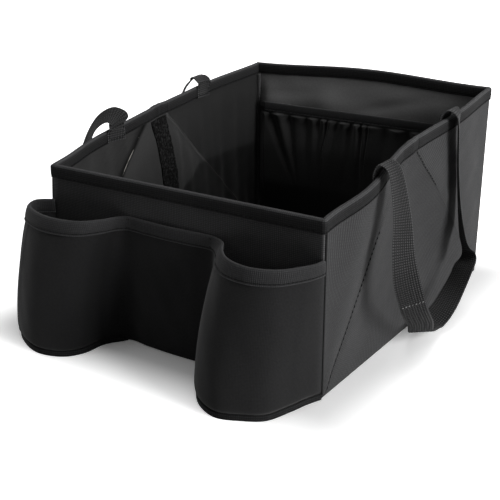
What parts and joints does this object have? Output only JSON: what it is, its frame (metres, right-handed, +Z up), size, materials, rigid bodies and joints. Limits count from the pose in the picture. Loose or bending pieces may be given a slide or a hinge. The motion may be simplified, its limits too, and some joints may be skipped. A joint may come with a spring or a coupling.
{
  "type": "back seat organizer",
  "caption": "Open folding cloth box with boarded walls, stretch cup pockets across the front, a webbing handle on each side and a gathered inner pocket.",
  "frame": {"origin": "middle of the base's underside, halfway between the side walls and between the front and back walls", "axes": "+Z up from the surface it stands on; the cup pockets face -Y; +Y runs from the front wall to the back wall; +X is to the right of someone looking at the cup pockets"},
  "size_m": [0.4136, 0.4571, 0.2241],
  "materials": {
    "outer_cloth": "matte fine weave",
    "lining": "smooth, slight sheen",
    "board": "matte, hidden inside the walls",
    "tape": "ribbed tape",
    "stretch_cloth": "soft matte knit",
    "webbing": "coarse flat weave",
    "loop_strip": "rough loop pile"
  },
  "bodies": {
    "root": {"front_cloth": "outer_cloth", "back_cloth": "outer_cloth", "side_cloth_left": "outer_cloth", "side_cloth_right": "outer_cloth", "base_cloth": "outer_cloth", "front_lining": "lining", "back_lining": "lining", "side_lining_left": "lining", "side_lining_right": "lining", "base_lining": "lining", "inner_pocket": "lining", "front_board": "board", "back_board": "board", "base_board": "board", "side_board_left_front_corner": "board", "side_board_left_centre_front": "board", "side_board_left_centre_back": "board", "side_board_left_back_corner": "board", "side_board_right_front_corner": "board", "side_board_right_centre_front": "board", "side_board_right_centre_back": "board", "side_board_right_back_corner": "board", "rim_binding": "tape", "corner_tape_front_left": "tape", "corner_tape_front_right": "tape", "corner_tape_back_left": "tape", "corner_tape_back_right": "tape", "cup_binding": "tape", "cup_base_binding_left": "tape", "cup_base_binding_right": "tape", "inner_pocket_elastic": "tape", "cup_panel": "stretch_cloth", "cup_base_left": "stretch_cloth", "cup_base_right": "stretch_cloth", "handle_left": "webbing", "handle_right": "webbing", "loop_strip_left": "loop_strip", "loop_strip_right": "loop_strip"}
  },
  "joints": []
}
